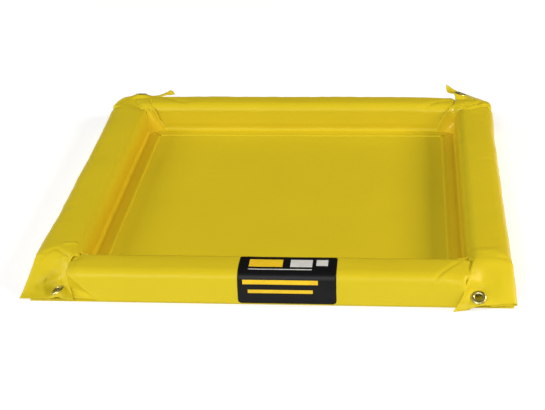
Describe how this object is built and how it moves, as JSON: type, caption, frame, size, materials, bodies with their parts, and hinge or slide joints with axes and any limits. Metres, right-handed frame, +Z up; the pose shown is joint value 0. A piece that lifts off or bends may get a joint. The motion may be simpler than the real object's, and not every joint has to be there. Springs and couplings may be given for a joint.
{
  "type": "foam wall spill containment berm",
  "caption": "Square shallow spill tray of yellow coated fabric with foam-filled walls, folded corners and corner flaps that lift, each with a brass grommet.",
  "frame": {"origin": "underside of the base sheet, at the middle of its square", "axes": "+Z up, -Y towards the wall that carries the label, +X to the right seen from that wall"},
  "size_m": [0.77, 0.7869, 0.0666],
  "materials": {
    "coated_fabric": "satin",
    "foam": "matte",
    "grommet_brass": "polished",
    "label_black": "satin"
  },
  "bodies": {
    "tray": {"floor_sheet": "coated_fabric", "front_wall_sleeve": "coated_fabric", "back_wall_sleeve": "coated_fabric", "left_wall_sleeve": "coated_fabric", "right_wall_sleeve": "coated_fabric", "front_foam_bar": "foam", "back_foam_bar": "foam", "left_foam_bar": "foam", "right_foam_bar": "foam", "front_left_gusset": "coated_fabric", "front_right_gusset": "coated_fabric", "back_left_gusset": "coated_fabric", "back_right_gusset": "coated_fabric", "front_label": "label_black"},
    "front_left_ear": {"front_left_flap": "coated_fabric", "front_left_grommet": "grommet_brass", "front_left_washer": "grommet_brass"},
    "front_right_ear": {"front_right_flap": "coated_fabric", "front_right_grommet": "grommet_brass", "front_right_washer": "grommet_brass"},
    "back_left_ear": {"back_left_flap": "coated_fabric", "back_left_grommet": "grommet_brass", "back_left_washer": "grommet_brass"},
    "back_right_ear": {"back_right_flap": "coated_fabric", "back_right_grommet": "grommet_brass", "back_right_washer": "grommet_brass"}
  },
  "joints": [
    {"name": "front_left_fold", "type": "hinge", "parent": "tray", "child": "front_left_ear", "pos_m": [-0.341, -0.305, 0.0543], "axis": [-1, 0, 0], "range_deg": [0, 120]},
    {"name": "front_right_fold", "type": "hinge", "parent": "tray", "child": "front_right_ear", "pos_m": [0.341, -0.305, 0.0543], "axis": [-1, 0, 0], "range_deg": [0, 110]},
    {"name": "back_left_fold", "type": "hinge", "parent": "tray", "child": "back_left_ear", "pos_m": [-0.341, 0.305, 0.0543], "axis": [1, 0, 0], "range_deg": [0, 85]},
    {"name": "back_right_fold", "type": "hinge", "parent": "tray", "child": "back_right_ear", "pos_m": [0.341, 0.305, 0.0543], "axis": [1, 0, 0], "range_deg": [0, 85]}
  ]
}
